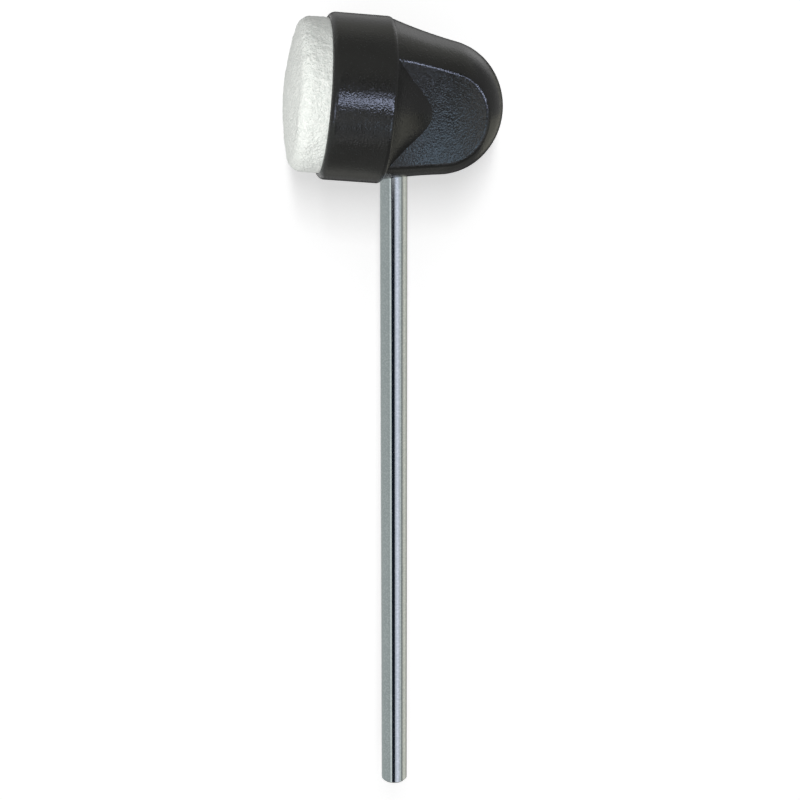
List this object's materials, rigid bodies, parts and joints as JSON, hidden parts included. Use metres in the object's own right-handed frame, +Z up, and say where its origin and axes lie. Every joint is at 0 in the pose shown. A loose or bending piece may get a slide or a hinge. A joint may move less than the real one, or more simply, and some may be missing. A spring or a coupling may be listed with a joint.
{
  "type": "bass drum beater",
  "caption": "Two-way bass drum beater: a black moulded head with a felt disc on one side and a hard nose on the other, on a plated steel rod for a pedal's clamp.",
  "frame": {"origin": "on the rod's axis, at the lower end of its full-diameter grip wall", "axes": "+Z up along the rod towards the head, -X the way the felt faces, +X the way the hard nose points"},
  "size_m": [0.0632, 0.0476, 0.2479],
  "materials": {
    "plated_rod": "bright plated steel bar",
    "black_moulding": "semi-gloss black moulding",
    "hub_steel": "turned steel",
    "screw_black": "blackened steel",
    "disc_plastic": "plain hard plastic",
    "screw_zinc": "zinc plated steel",
    "glue": "dried contact adhesive",
    "pressed_felt": "pale pressed wool felt"
  },
  "bodies": {
    "rod": {"beater_rod": "plated_rod"},
    "head": {"head_casing": "black_moulding", "rod_hub": "hub_steel", "backing_disc": "disc_plastic", "backing_screws": "screw_zinc", "felt_glue_layer": "glue", "felt_pad": "pressed_felt"},
    "lock_screw": {"set_screw": "screw_black"}
  },
  "joints": [
    {"name": "head_turn", "type": "hinge", "parent": "rod", "child": "head", "pos_m": [0, 0, 0.2217], "axis": [0, 0, 1], "continuous": true},
    {"name": "screw_travel", "type": "slide", "parent": "head", "child": "lock_screw", "axis": [0, 1, 0], "range_m": [0, 0.0015]}
  ]
}
